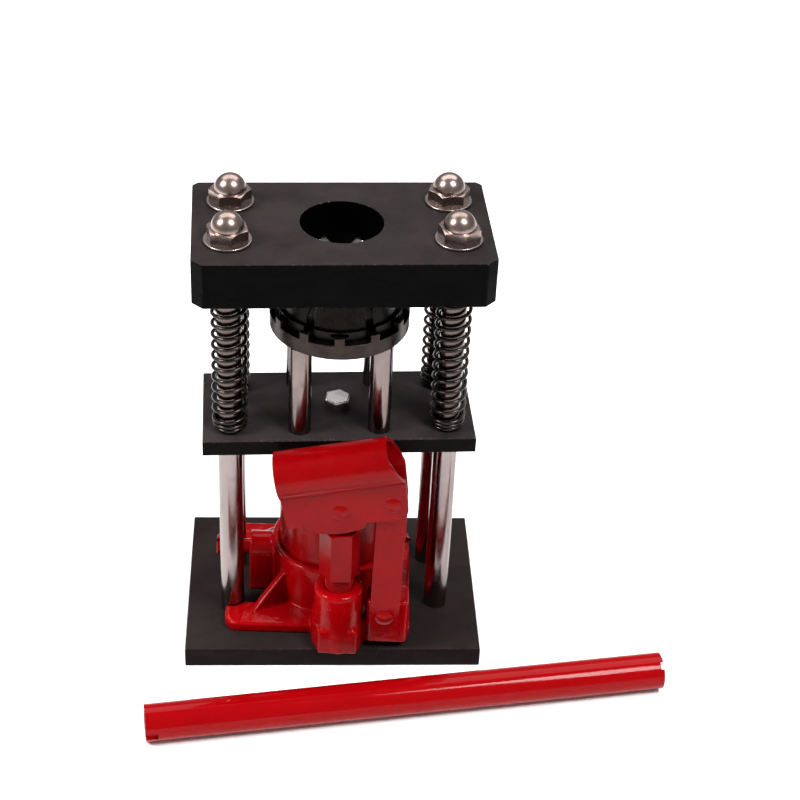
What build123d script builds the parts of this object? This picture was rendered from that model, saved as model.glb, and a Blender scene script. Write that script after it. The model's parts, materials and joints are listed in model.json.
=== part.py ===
"""Hand press that crimps hose ferrules: a bottle jack lifts six dies into a tapered bore.

Millimetres, +Z up. The origin lies under the base plate, on the axis that the ram, the
die ring and the tapered bore share. The jack stands turned by JACK_YAW about that axis.
"""

from build123d import *
from math import atan2, cos, degrees, radians, sin, tan
import os

# ---------------------------------------------------------------- driving dimensions
# Plates
BASE_WIDTH, BASE_DEPTH, BASE_THICK = 163.0, 116.6, 12.0
BASE_X, BASE_Y, BASE_YAW = -0.5, 1.1, -1.9
TOP_WIDTH, TOP_DEPTH, TOP_THICK = 151.0, 84.0, 25.0
TOP_FRONT_CORNER, TOP_REAR_CORNER = 5.5, 2.8
TOP_UNDERSIDE = 225.0
TOP_FACE = TOP_UNDERSIDE + TOP_THICK
PLATE_WIDTH, PLATE_DEPTH, PLATE_THICK = 144.0, 64.0, 9.0
PLATE_UNDERSIDE = 128.0
PLATE_FACE = PLATE_UNDERSIDE + PLATE_THICK
PLATE_EDGE = 0.6

# Columns, their nuts and return springs
FRONT_COLUMN_X, FRONT_COLUMN_Y = 57.4, -18.6
REAR_COLUMN_X, REAR_COLUMN_Y = 55.9, 20.4
COLUMN_R = 6.5
COLUMN_SPIGOT_R, COLUMN_SPIGOT_DEPTH = 5.9, 10.0
STUD_R, STUD_END = 5.9, 260.0
STUD_HOLE_R = 6.15
WASHER_R, WASHER_THICK = 12.2, 1.6
NUT_FLATS, NUT_HEX_HEIGHT = 19.0, 6.5
NUT_DOME_R, NUT_HEIGHT, NUT_DOME_ROOT = 8.4, 14.6, 2.0
NUT_TURNS = (40.0, 42.0, -1.0, 8.0)
HEX_CHAMFER_ANGLE, HEX_CUTTER = 30.0, 3.0
SPRING_WIRE_R, SPRING_COIL_R, SPRING_TURNS = 1.0, 8.5, 13

# Ram, die ring and dies
LIFT_STROKE = 20.0
TAPER_HALF_ANGLE = 12.0
BORE_TOP_R = 21.25
DIE_COUNT = 6
DIE_TURN = -93.0
DIE_CLEARANCE = 0.1
DIE_INNER_R = 7.0
DIE_GAP_ANGLE = 1.0
DIE_FOOT_R, DIE_FOOT_Z, DIE_FOOT_TOP = 33.0, 198.8, 204.5
DIE_TOP = 230.0
DIE_SLOT_WIDTH, DIE_SLOT_HEIGHT, DIE_SLOT_DEPTH, DIE_SLOT_DROP = 9.4, 2.2, 3.0, 1.9
DIE_CHAMFER, RING_CHAMFER = 0.8, 0.8
RING_R, RING_INNER_R = 36.5, 16.0
RING_UNDERSIDE = 190.0
RING_RIM_R, RING_TOOTH_TOP, RING_TOOTH_WIDTH = 33.4, 202.9, 5.2
RING_TEETH = 12
POST_X, POST_Y, POST_R = 21.0, 21.5, 6.0
POST_SPIGOT_R, POST_SPIGOT = 4.0, 6.0
RAM_R = 11.0
PISTON_HEIGHT, PISTON_SEAL_HEIGHT, PISTON_REST_GAP = 12.0, 4.0, 1.8
PISTON_STEM_R, PISTON_SHOULDER = 8.0, 1.0
BOLT_FLATS, BOLT_HEAD, BOLT_R, BOLT_REACH = 13.0, 5.5, 4.0, 26.0
BOLT_TURN, BOLT_CHAMFER, BOLT_END_GAP = 18.0, 0.7, 2.0

# Jack casting
JACK_YAW = -4.5
CAST_Z = BASE_THICK
FOOT_THICK = 6.0
FOOT_TOP = CAST_Z + FOOT_THICK
FOOT_LEFT, FOOT_RIGHT = -59.2, 44.0
FOOT_FRONT, FOOT_REAR, FOOT_RIGHT_FRONT = -45.0, 44.5, -50.5
FOOT_NOTCH_X, FOOT_NOTCH_Y, FOOT_WAIST_X = -36.0, 26.0, -26.0
FOOT_BEVEL_X, FOOT_BEVEL_Y, FOOT_REAR_BEVEL = 3.0, 7.0, 6.0
COLLAR_R, COLLAR_TOP = 34.5, 47.5
TANK_R, TANK_WALL = 30.5, 2.0
TANK_SEAT, TANK_TOP = 43.0, 86.0
CYLINDER_R, CYLINDER_BORE_R, CYLINDER_SEAT = 16.0, 12.0, 40.0
CYLINDER_TOP = 91.0
TOP_NUT_R, TOP_NUT_FLANGE, TOP_NUT_FLATS, TOP_NUT_TOP = 31.0, 92.0, 38.0, 99.0
TOP_NUT_CHAMFER = 1.0
SEAL_THICK = 1.2
WIPER_R, WIPER_FOOT, WIPER_LIP = 14.0, 96.0, 0.6
OIL_PLUG_R, OIL_PLUG_HEAD_R, OIL_PLUG_HEAD, OIL_PLUG_DROP = 4.0, 6.0, 1.5, 12.0
OIL_PLUG_CHAMFER = 0.5
RECESS_GAP, COLUMN_GAP = 0.1, 0.4
CAST_ROUND, FOOT_CORNER, LUG_CORNER, CAST_OVERLAP = 1.2, 8.0, 3.0, 1.0
OIL_WAY_R, OIL_WAY_Z = 1.2, 35.5
RIB_ANGLES = (218.0, 142.0, 38.0)
RIB_THICK, RIB_FOOT_R, RIB_TOP, RIB_ROOT = 4.0, 56.8, 37.5, 2.0

# Pump
PUMP_X, PUMP_Y = 4.0, -48.2
PUMP_BOSS_R, PUMP_BOSS_TOP, PUMP_BOSS_ROUND = 13.4, 52.0, 2.4
PUMP_WEB, PUMP_WEB_TOP = 21.4, 45.5
PUMP_BLOCK_FRONT, PUMP_BLOCK_TOP = -61.0, 28.5
PUMP_BLOCK_HALF, PUMP_BLOCK_BACK_HALF, PUMP_BLOCK_BACK = 10.3, 14.5, -50.0
PUMP_BLOCK_ROOT = -36.0
PUMP_THREAD_R, PUMP_SEAT, PUMP_HEX_Z, PUMP_HEX_TOP = 7.65, 33.0, 61.0, 92.2
PUMP_HEX_FLATS, PUMP_HEX_TURN = 19.2, 6.0
PLUNGER_R, PLUNGER_FOOT, PLUNGER_HEAD_R = 5.0, 58.0, 8.0
PUMP_FIT = 0.06
BALL_R = 2.5
BALL_LIFT = 1.0
BALL_POCKET = 2 * BALL_R + BALL_LIFT
PUMP_CHAMBER_Z, PLUNGER_SEAL_Z, PLUNGER_SEAL_HEIGHT = 56.5, 60.0, 2.0
PLUNGER_GROOVE_R, PLUNGER_EYE_HALF = 3.8, 6.2
THREAD_PITCH, THREAD_DEPTH = 1.5, 0.55

# Handle socket and its links
SOCKET_TILT = 11.8
SOCKET_AXIS_Z = 130.5
SOCKET_R, SOCKET_WALL = 13.0, 2.5
EAR_OUTER = 9.0
EAR_INNER = EAR_OUTER - SOCKET_WALL
SOCKET_BORE_R = SOCKET_R - SOCKET_WALL
SOCKET_LEFT, SOCKET_RIGHT = -30.2, 36.2
MOUTH_TOP, MOUTH_TIP = (29.5, 8.6), (SOCKET_RIGHT, -8.3)
EAR_FOOT = -37.0
EAR_LOBE_LEFT, EAR_LOBE_FOOT, EAR_LOBE_RIGHT = (-17.6, -33.4), (-3.3, -36.4), (10.2, -34.6)
EAR_LEFT_NECK, EAR_RIGHT_NECK = (-19.2, -28.8), (11.6, -31.4)
EAR_HEEL_LEFT, EAR_HEEL, EAR_HEEL_RIGHT = (28.5, -32.8), (32.9, -30.4), (34.8, -25.0)
EAR_PIN_DROP = -22.7
PLUNGER_PIN_S, FULCRUM_PIN_S = -0.75, 27.2
PIN_R, PIN_HEAD_R, PIN_HEAD = 3.5, 5.0, 1.6
PIN_FIT = 0.06
CLIP_R, CLIP_INNER_R, CLIP_THICK, CLIP_TAIL, CLIP_MOUTH = 5.4, 2.7, 0.8, 0.6, 4.4
PIN_TAIL = CLIP_THICK + CLIP_TAIL
LINK_THICK, LINK_HALF_WIDTH = 3.0, 8.0
LINK_UPPER, LINK_LOWER = 6.2, 10.8
LINK_BEND_TOP, LINK_BEND_FOOT = 60.5, 48.5
LINK_X = 29.5
LINK_PIN_X, LINK_PIN_Z = 29.2, 37.4
LUG_LEFT, LUG_RIGHT, LUG_HALF, LUG_TOP = 19.5, 42.4, 7.5, 46.0
EYE_SHIFT_X, EYE_SHIFT_Z = -0.77, 0.11
EYE_REACH, EYE_R = 0.8, 3.71

# Release valve
VALVE_Z, VALVE_BOSS_R, VALVE_BOSS_END = 36.9, 9.0, -47.2
VALVE_STEM_R, VALVE_HEAD_R, VALVE_HEAD_IN, VALVE_HEAD_OUT = 4.0, 6.0, -57.5, -66.0
VALVE_TIP, VALVE_CONE = -22.0, 3.0
VALVE_SLOT_WIDTH, VALVE_SLOT_DEPTH, VALVE_SLOT_TURN, VALVE_CHAMFER = 2.0, 2.6, 25.0, 0.6
PACKING_R, PACKING_LENGTH = 6.2, 2.5

# Loose pump handle, lying on the ground in front
HANDLE_R, HANDLE_WALL, HANDLE_LENGTH = 10.0, 1.8, 282.5
HANDLE_START, HANDLE_YAW = (-104.0, -108.0), 6.05
HANDLE_SLOT_WIDTH, HANDLE_SLOT_DEPTH, HANDLE_SLOT_ANGLE = 4.2, 6.3, -9.0
HANDLE_NOTCH_WIDTH, HANDLE_NOTCH_DEPTH, HANDLE_NOTCH_ANGLE = 4.2, 1.6, 58.0

# ---------------------------------------------------------------- derived values
UP = Vector(0, 0, 1)
BASE_TURN = radians(BASE_YAW)
TAPER = tan(radians(TAPER_HALF_ANGLE))
HEX_SLOPE = tan(radians(HEX_CHAMFER_ANGLE))
DIE_TRAVEL = LIFT_STROKE * TAPER
PISTON_FOOT = CYLINDER_SEAT + SEAL_THICK + PISTON_REST_GAP
BORE_LOW_R = BORE_TOP_R + TOP_THICK * TAPER
JACK_X = Vector(cos(radians(JACK_YAW)), sin(radians(JACK_YAW)), 0)
JACK_Y = Vector(-sin(radians(JACK_YAW)), cos(radians(JACK_YAW)), 0)
TILT = radians(SOCKET_TILT)
SOCKET_S = JACK_X * cos(TILT) + Vector(0, 0, sin(TILT))
COLUMNS = {
    "front_left": (-FRONT_COLUMN_X, FRONT_COLUMN_Y),
    "front_right": (FRONT_COLUMN_X, FRONT_COLUMN_Y),
    "rear_left": (-REAR_COLUMN_X, REAR_COLUMN_Y),
    "rear_right": (REAR_COLUMN_X, REAR_COLUMN_Y),
}
POSTS = {
    "front_left": (-POST_X, -POST_Y),
    "front_right": (POST_X, -POST_Y),
    "rear_left": (-POST_X, POST_Y),
    "rear_right": (POST_X, POST_Y),
}

os.makedirs("parts", exist_ok=True)


def save(builder, label):
    """Label a finished piece and write it."""
    builder.part.label = label
    export_step(builder.part, f"parts/{label}.step")


def jack_point(x, y, z):
    """A point given in the jack's own directions."""
    return JACK_X * x + JACK_Y * y + Vector(0, 0, z)


def jack_level(z, x=0.0, y=0.0):
    """Horizontal plane at height z, turned with the jack, centred over (x, y)."""
    return Plane(origin=jack_point(x, y, z), x_dir=JACK_X, z_dir=(0, 0, 1))


def jack_front(y):
    """Upright plane across the jack at depth y: right is the jack's +X, up is +Z."""
    return Plane(origin=jack_point(0, y, 0), x_dir=JACK_X, z_dir=JACK_Y * -1)


def jack_side(x):
    """Upright plane at x that looks along the jack's +X: right is the jack's +Y."""
    return Plane(origin=jack_point(x, 0, 0), x_dir=JACK_Y, z_dir=JACK_X)


def socket_side(y):
    """Upright plane at depth y in the tilted socket: right runs up the socket's axis."""
    return Plane(origin=jack_point(0, y, SOCKET_AXIS_Z), x_dir=SOCKET_S, z_dir=JACK_Y * -1)


def socket_pin(s):
    """Where a pin at s along the socket stands, as x and z in the jack's directions."""
    x = s * cos(TILT) - EAR_PIN_DROP * sin(TILT)
    z = SOCKET_AXIS_Z + s * sin(TILT) + EAR_PIN_DROP * cos(TILT)
    return x, z


PLUNGER_PIN = socket_pin(PLUNGER_PIN_S)
FULCRUM_PIN = socket_pin(FULCRUM_PIN_S)


# ---------------------------------------------------------------- press frame
def make_base_plate():
    """Base plate, which stands a little turned under the columns."""
    outline = Plane(
        origin=(BASE_X, BASE_Y, 0), x_dir=(cos(BASE_TURN), sin(BASE_TURN), 0), z_dir=UP
    )
    with BuildPart() as plate:
        with BuildSketch(outline):
            Rectangle(BASE_WIDTH, BASE_DEPTH)
        extrude(amount=BASE_THICK)
        chamfer(plate.edges().group_by(Axis.Z)[-1], PLATE_EDGE)
        with BuildSketch(Plane.XY.offset(BASE_THICK - COLUMN_SPIGOT_DEPTH)):
            with Locations(*COLUMNS.values()):
                Circle(COLUMN_SPIGOT_R)
        extrude(amount=COLUMN_SPIGOT_DEPTH, mode=Mode.SUBTRACT)
    save(plate, "base_plate")


def make_column(name, x, y):
    with BuildPart() as column:
        with BuildSketch(Plane.XY.offset(BASE_THICK - COLUMN_SPIGOT_DEPTH)):
            with Locations((x, y)):
                Circle(COLUMN_SPIGOT_R)
        extrude(amount=COLUMN_SPIGOT_DEPTH)
        with BuildSketch(Plane.XY.offset(BASE_THICK)):
            with Locations((x, y)):
                Circle(COLUMN_R)
        extrude(amount=TOP_UNDERSIDE - BASE_THICK)
        with BuildSketch(Plane.XY.offset(TOP_UNDERSIDE)):
            with Locations((x, y)):
                Circle(STUD_R)
        extrude(amount=STUD_END - TOP_UNDERSIDE)
        chamfer(column.edges().group_by(Axis.Z)[-1], PLATE_EDGE)
    save(column, f"column_{name}")


def make_top_plate():
    with BuildPart() as plate:
        with BuildSketch(Plane.XY.offset(TOP_UNDERSIDE)):
            Rectangle(TOP_WIDTH, TOP_DEPTH)
        extrude(amount=TOP_THICK)
        corners = plate.edges().filter_by(Axis.Z).group_by(Axis.Y)
        chamfer(corners[0], TOP_FRONT_CORNER)
        chamfer(corners[-1], TOP_REAR_CORNER)
        chamfer(plate.edges().group_by(Axis.Z)[-1], PLATE_EDGE)
        with BuildSketch(Plane.XZ):
            with BuildLine():
                Polyline(
                    (0, TOP_UNDERSIDE),
                    (BORE_LOW_R, TOP_UNDERSIDE),
                    (BORE_TOP_R, TOP_FACE),
                    (0, TOP_FACE),
                    close=True,
                )
            make_face()
        revolve(axis=Axis.Z, mode=Mode.SUBTRACT)
        with BuildSketch(Plane.XY.offset(TOP_UNDERSIDE)):
            with Locations(*COLUMNS.values()):
                Circle(STUD_HOLE_R)
        extrude(amount=TOP_THICK, mode=Mode.SUBTRACT)
    save(plate, "top_plate")


def make_column_washers():
    with BuildPart() as washers:
        with BuildSketch(Plane.XY.offset(TOP_FACE)):
            with Locations(*COLUMNS.values()):
                Circle(WASHER_R)
            with Locations(*COLUMNS.values()):
                Circle(STUD_HOLE_R, mode=Mode.SUBTRACT)
        extrude(amount=WASHER_THICK)
    save(washers, "column_washers")


def make_column_nuts():
    """Four acorn nuts, each stopped at its own angle."""
    seat = TOP_FACE + WASHER_THICK
    dome_centre = NUT_HEIGHT - NUT_DOME_R
    cone = NUT_FLATS / 2
    with BuildPart() as nuts:
        for (x, y), turn in zip(COLUMNS.values(), NUT_TURNS):
            with BuildSketch(Plane.XY.offset(seat)):
                with Locations((x, y)):
                    RegularPolygon(NUT_FLATS / 2, 6, major_radius=False, rotation=turn)
            extrude(amount=NUT_HEX_HEIGHT)
            dome_plane = Plane(origin=(x, y, seat), x_dir=(1, 0, 0), z_dir=(0, -1, 0))
            with BuildSketch(dome_plane):
                with BuildLine():
                    Line((0, NUT_DOME_ROOT), (NUT_DOME_R, NUT_DOME_ROOT))
                    Line((NUT_DOME_R, NUT_DOME_ROOT), (NUT_DOME_R, dome_centre))
                    CenterArc((0, dome_centre), NUT_DOME_R, 0, 90)
                    Line((0, NUT_HEIGHT), (0, NUT_DOME_ROOT))
                make_face()
            revolve(axis=Axis((x, y, 0), (0, 0, 1)))
            with BuildSketch(dome_plane):
                with BuildLine():
                    Polyline(
                        (cone, NUT_HEX_HEIGHT),
                        (cone + HEX_CUTTER, NUT_HEX_HEIGHT),
                        (cone + HEX_CUTTER, NUT_HEX_HEIGHT - HEX_CUTTER * HEX_SLOPE),
                        close=True,
                    )
                make_face()
            revolve(axis=Axis((x, y, 0), (0, 0, 1)), mode=Mode.SUBTRACT)
        with BuildSketch(Plane.XY.offset(seat)):
            with Locations(*COLUMNS.values()):
                Circle(STUD_R)
        extrude(amount=STUD_END - seat, mode=Mode.SUBTRACT)
    save(nuts, "column_nuts")


def make_return_spring(name, x, y):
    low = PLATE_FACE + SPRING_WIRE_R
    height = TOP_UNDERSIDE - PLATE_FACE - 2 * SPRING_WIRE_R
    with BuildPart() as spring:
        with BuildLine() as path:
            Helix(height / SPRING_TURNS, height, SPRING_COIL_R, center=(x, y, low))
        with BuildSketch(Plane(origin=path.line @ 0, z_dir=path.line % 0)):
            Circle(SPRING_WIRE_R)
        sweep(path=path.line, is_frenet=True)
    save(spring, f"return_spring_{name}")


# ---------------------------------------------------------------- lifting parts
def make_moving_plate():
    with BuildPart() as plate:
        with BuildSketch(Plane.XY.offset(PLATE_UNDERSIDE)):
            Rectangle(PLATE_WIDTH, PLATE_DEPTH)
            with Locations(*COLUMNS.values()):
                Circle(COLUMN_R + PUMP_FIT, mode=Mode.SUBTRACT)
            with Locations(*POSTS.values()):
                Circle(POST_SPIGOT_R, mode=Mode.SUBTRACT)
            Circle(BOLT_R, mode=Mode.SUBTRACT)
        extrude(amount=PLATE_THICK)
        chamfer(plate.edges().filter_by(GeomType.LINE).group_by(Axis.Z)[-1], PLATE_EDGE)
    save(plate, "moving_plate")


def make_ram():
    foot = PISTON_FOOT
    piston_top = foot + PISTON_HEIGHT
    seal_top = foot + PISTON_SEAL_HEIGHT
    with BuildPart() as ram:
        with BuildSketch(Plane.XZ):
            with BuildLine():
                Polyline(
                    (0, foot),
                    (PISTON_STEM_R, foot),
                    (PISTON_STEM_R, seal_top),
                    (CYLINDER_BORE_R - PUMP_FIT, seal_top),
                    (CYLINDER_BORE_R - PUMP_FIT, piston_top),
                    (RAM_R, piston_top + PISTON_SHOULDER),
                    (RAM_R, PLATE_UNDERSIDE),
                    (0, PLATE_UNDERSIDE),
                    close=True,
                )
            make_face()
        revolve(axis=Axis.Z)
        with BuildSketch(Plane.XY.offset(PLATE_UNDERSIDE)):
            Circle(BOLT_R)
        extrude(amount=-BOLT_REACH, mode=Mode.SUBTRACT)
    save(ram, "ram")


def make_piston_seal():
    with BuildPart() as seal:
        with BuildSketch(Plane.XY.offset(PISTON_FOOT)):
            Circle(CYLINDER_BORE_R - PUMP_FIT)
            Circle(PISTON_STEM_R, mode=Mode.SUBTRACT)
        extrude(amount=PISTON_SEAL_HEIGHT)
    save(seal, "piston_seal")


def make_ram_bolt():
    with BuildPart() as bolt:
        with BuildSketch(Plane.XY.offset(PLATE_FACE)):
            RegularPolygon(BOLT_FLATS / 2, 6, major_radius=False, rotation=BOLT_TURN)
        extrude(amount=BOLT_HEAD)
        chamfer(bolt.edges().group_by(Axis.Z)[-1], BOLT_CHAMFER)
        with BuildSketch(Plane.XY.offset(PLATE_FACE)):
            Circle(BOLT_R)
        extrude(amount=BOLT_END_GAP - PLATE_THICK - BOLT_REACH)
    save(bolt, "ram_bolt")


def make_push_post(name, x, y):
    with BuildPart() as post:
        with BuildSketch(Plane.XY.offset(PLATE_UNDERSIDE)):
            with Locations((x, y)):
                Circle(POST_SPIGOT_R)
        extrude(amount=RING_UNDERSIDE + POST_SPIGOT - PLATE_UNDERSIDE)
        with BuildSketch(Plane.XY.offset(PLATE_FACE)):
            with Locations((x, y)):
                Circle(POST_R)
        extrude(amount=RING_UNDERSIDE - PLATE_FACE)
    save(post, f"push_post_{name}")


def make_die_ring():
    """Ring that carries the dies, with a rim cut down to twelve short teeth."""
    with BuildPart() as ring:
        with BuildSketch(Plane.XY.offset(RING_UNDERSIDE)):
            Circle(RING_R)
        extrude(amount=DIE_FOOT_Z - RING_UNDERSIDE)
        chamfer(ring.edges().group_by(Axis.Z)[0], RING_CHAMFER)
        with BuildSketch(Plane.XY.offset(DIE_FOOT_Z)):
            with PolarLocations(RING_R, RING_TEETH, start_angle=DIE_TURN):
                Rectangle(4 * (RING_R - RING_RIM_R), RING_TOOTH_WIDTH)
            Circle(RING_R, mode=Mode.INTERSECT)
            Circle(RING_RIM_R, mode=Mode.SUBTRACT)
        extrude(amount=RING_TOOTH_TOP - DIE_FOOT_Z)
        with BuildSketch(Plane.XY.offset(RING_UNDERSIDE)):
            Circle(RING_INNER_R)
        extrude(amount=DIE_FOOT_Z - RING_UNDERSIDE, mode=Mode.SUBTRACT)
        with BuildSketch(Plane.XY.offset(RING_UNDERSIDE)):
            with Locations(*POSTS.values()):
                Circle(POST_SPIGOT_R)
        extrude(amount=POST_SPIGOT, mode=Mode.SUBTRACT)
    save(ring, "die_ring")


def die_direction(index):
    """Unit vector from the axis to a die's middle."""
    angle = radians(DIE_TURN + index * 360 / DIE_COUNT)
    return Vector(cos(angle), sin(angle), 0)


def make_die_segment(index):
    """A sixth of a tapered sleeve, shut shape moved outwards to where it rests."""
    outward = die_direction(index)
    shut_top_r = BORE_TOP_R - DIE_CLEARANCE
    shut_foot_r = shut_top_r + (DIE_TOP - DIE_FOOT_TOP) * TAPER
    foot_r = DIE_FOOT_R - DIE_TRAVEL
    half_angle = 180 / DIE_COUNT - DIE_GAP_ANGLE / 2
    start = outward.rotate(Axis.Z, -half_angle)
    centre = outward * DIE_TRAVEL
    profile_plane = Plane(origin=centre, x_dir=start, z_dir=start.cross(UP))
    with BuildPart() as die:
        with BuildSketch(profile_plane):
            with BuildLine():
                Polyline(
                    (DIE_INNER_R, DIE_FOOT_Z),
                    (foot_r, DIE_FOOT_Z),
                    (foot_r, DIE_FOOT_TOP),
                    (shut_foot_r, DIE_FOOT_TOP),
                    (shut_top_r, DIE_TOP),
                    (DIE_INNER_R + DIE_CHAMFER, DIE_TOP),
                    (DIE_INNER_R, DIE_TOP - DIE_CHAMFER),
                    close=True,
                )
            make_face()
        revolve(axis=Axis(centre, (0, 0, 1)), revolution_arc=2 * half_angle)
        slot_plane = Plane(origin=outward * DIE_FOOT_R, x_dir=(0, 0, 1), z_dir=outward)
        with BuildSketch(slot_plane):
            with Locations((DIE_FOOT_TOP - DIE_SLOT_DROP, 0)):
                SlotOverall(DIE_SLOT_WIDTH, DIE_SLOT_HEIGHT, rotation=90)
        extrude(amount=-DIE_SLOT_DEPTH, mode=Mode.SUBTRACT)
    save(die, f"die_segment_{index + 1}")


# ---------------------------------------------------------------- jack body
def foot_outline():
    """Outline of the casting's foot: full on the right, two feet on the left."""
    Polyline(
        (FOOT_LEFT, FOOT_FRONT),
        (PUMP_X - PUMP_BLOCK_BACK_HALF, FOOT_FRONT),
        (PUMP_X + PUMP_BLOCK_BACK_HALF, FOOT_RIGHT_FRONT),
        (FOOT_RIGHT - FOOT_BEVEL_X, FOOT_RIGHT_FRONT),
        (FOOT_RIGHT, FOOT_RIGHT_FRONT + FOOT_BEVEL_Y),
        (FOOT_RIGHT, FOOT_REAR - FOOT_REAR_BEVEL),
        (FOOT_RIGHT - FOOT_REAR_BEVEL, FOOT_REAR),
        (FOOT_LEFT, FOOT_REAR),
        (FOOT_LEFT, FOOT_NOTCH_Y),
        (FOOT_NOTCH_X, FOOT_NOTCH_Y),
        (FOOT_WAIST_X, 0),
        (FOOT_NOTCH_X, -FOOT_NOTCH_Y),
        (FOOT_LEFT, -FOOT_NOTCH_Y),
        close=True,
    )


def link_lug():
    """Upright lug that the two links straddle, with the bore for their lower pin."""
    with BuildPart() as lug:
        with BuildSketch(jack_level(FOOT_TOP - CAST_OVERLAP)):
            with Locations(((LUG_LEFT + LUG_RIGHT) / 2, PUMP_Y)):
                RectangleRounded(LUG_RIGHT - LUG_LEFT, 2 * LUG_HALF, LUG_CORNER)
        extrude(amount=LUG_TOP - FOOT_TOP + CAST_OVERLAP)
        fillet(lug.edges().group_by(Axis.Z)[-1], CAST_ROUND)
        with BuildSketch(jack_front(PUMP_Y)):
            with Locations((LINK_PIN_X, LINK_PIN_Z)):
                Circle(PIN_R + PIN_FIT)
        extrude(amount=2 * LUG_HALF, both=True, mode=Mode.SUBTRACT)
    return lug.part


def pump_mount():
    """Boss, front block and web that carry the pump."""
    with BuildPart() as mount:
        with BuildSketch(jack_level(CAST_Z)):
            with BuildLine():
                Polyline(
                    (PUMP_X - PUMP_BLOCK_BACK_HALF, PUMP_BLOCK_ROOT),
                    (PUMP_X - PUMP_BLOCK_BACK_HALF, PUMP_BLOCK_BACK),
                    (PUMP_X - PUMP_BLOCK_HALF, PUMP_BLOCK_FRONT),
                    (PUMP_X + PUMP_BLOCK_HALF, PUMP_BLOCK_FRONT),
                    (PUMP_X + PUMP_BLOCK_BACK_HALF, PUMP_BLOCK_BACK),
                    (PUMP_X + PUMP_BLOCK_BACK_HALF, PUMP_BLOCK_ROOT),
                    close=True,
                )
            make_face()
        extrude(amount=PUMP_BLOCK_TOP - CAST_Z)
        fillet(mount.edges().group_by(Axis.Z)[-1], CAST_ROUND)
        with BuildSketch(jack_level(CAST_Z)):
            with Locations((PUMP_X, (PUMP_Y - TANK_R) / 2)):
                Rectangle(PUMP_WEB, -PUMP_Y - TANK_R)
        extrude(amount=PUMP_WEB_TOP - CAST_Z)
        with BuildSketch(jack_level(CAST_Z, PUMP_X, PUMP_Y)):
            Circle(PUMP_BOSS_R)
        extrude(amount=PUMP_BOSS_TOP - CAST_Z)
        fillet(mount.edges().group_by(Axis.Z)[-1], PUMP_BOSS_ROUND)
    return mount.part


def valve_boss():
    """Round-topped boss on the left that carries the release valve."""
    with BuildPart() as boss:
        with BuildSketch(jack_side(VALVE_BOSS_END)):
            with Locations((0, VALVE_Z)):
                Circle(VALVE_BOSS_R)
            with Locations((0, (VALVE_Z + CAST_Z) / 2)):
                Rectangle(2 * VALVE_BOSS_R, VALVE_Z - CAST_Z)
        extrude(amount=CAST_OVERLAP - VALVE_BOSS_END - TANK_R)
    return boss.part


def foot_rib(angle):
    """Triangular rib from the collar out over a foot."""
    along = JACK_X * cos(radians(angle)) + JACK_Y * sin(radians(angle))
    with BuildPart() as rib:
        with BuildSketch(Plane(origin=(0, 0, 0), x_dir=along, z_dir=along.cross(UP))):
            with BuildLine():
                Polyline(
                    (COLLAR_R - RIB_ROOT, FOOT_TOP - CAST_OVERLAP),
                    (RIB_FOOT_R, FOOT_TOP - CAST_OVERLAP),
                    (RIB_FOOT_R, FOOT_TOP),
                    (COLLAR_R, RIB_TOP),
                    (COLLAR_R - RIB_ROOT, RIB_TOP),
                    close=True,
                )
            make_face()
        extrude(amount=RIB_THICK / 2, both=True)
    return rib.part


def jack_bores():
    """Pockets and drilled ways inside the casting."""
    pump_floor = PUMP_SEAT - SEAL_THICK
    to_pump = jack_point(PUMP_X, PUMP_Y, 0)
    with BuildPart() as bores:
        with BuildSketch(jack_level(TANK_SEAT - SEAL_THICK)):
            Circle(TANK_R + RECESS_GAP)
        extrude(amount=COLLAR_TOP - TANK_SEAT + SEAL_THICK + CAST_OVERLAP)
        with BuildSketch(jack_level(CYLINDER_SEAT)):
            Circle(CYLINDER_R)
        extrude(amount=TANK_SEAT - CYLINDER_SEAT)
        with BuildSketch(jack_level(CYLINDER_SEAT - BALL_POCKET)):
            Circle(BALL_R + PUMP_FIT)
        extrude(amount=BALL_POCKET)
        with BuildSketch(jack_level(pump_floor, PUMP_X, PUMP_Y)):
            Circle(PUMP_THREAD_R)
        extrude(amount=PUMP_BOSS_TOP - pump_floor + CAST_OVERLAP)
        with BuildSketch(jack_level(pump_floor - BALL_POCKET, PUMP_X, PUMP_Y)):
            Circle(BALL_R + PUMP_FIT)
        extrude(amount=BALL_POCKET)
        with BuildSketch(jack_side(VALVE_BOSS_END)):
            with Locations((0, VALVE_Z)):
                Circle(VALVE_STEM_R + PUMP_FIT)
        extrude(amount=VALVE_TIP - VALVE_BOSS_END)
        with BuildSketch(jack_side(VALVE_BOSS_END)):
            with Locations((0, VALVE_Z)):
                Circle(PACKING_R)
        extrude(amount=PACKING_LENGTH)
        with BuildSketch(jack_side(VALVE_TIP)):
            with Locations((0, VALVE_Z)):
                Circle(OIL_WAY_R)
        extrude(amount=-VALVE_TIP)
        with BuildSketch(Plane(origin=(0, 0, OIL_WAY_Z), z_dir=to_pump)):
            Circle(OIL_WAY_R)
        extrude(amount=to_pump.length)
    return bores.part


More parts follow.
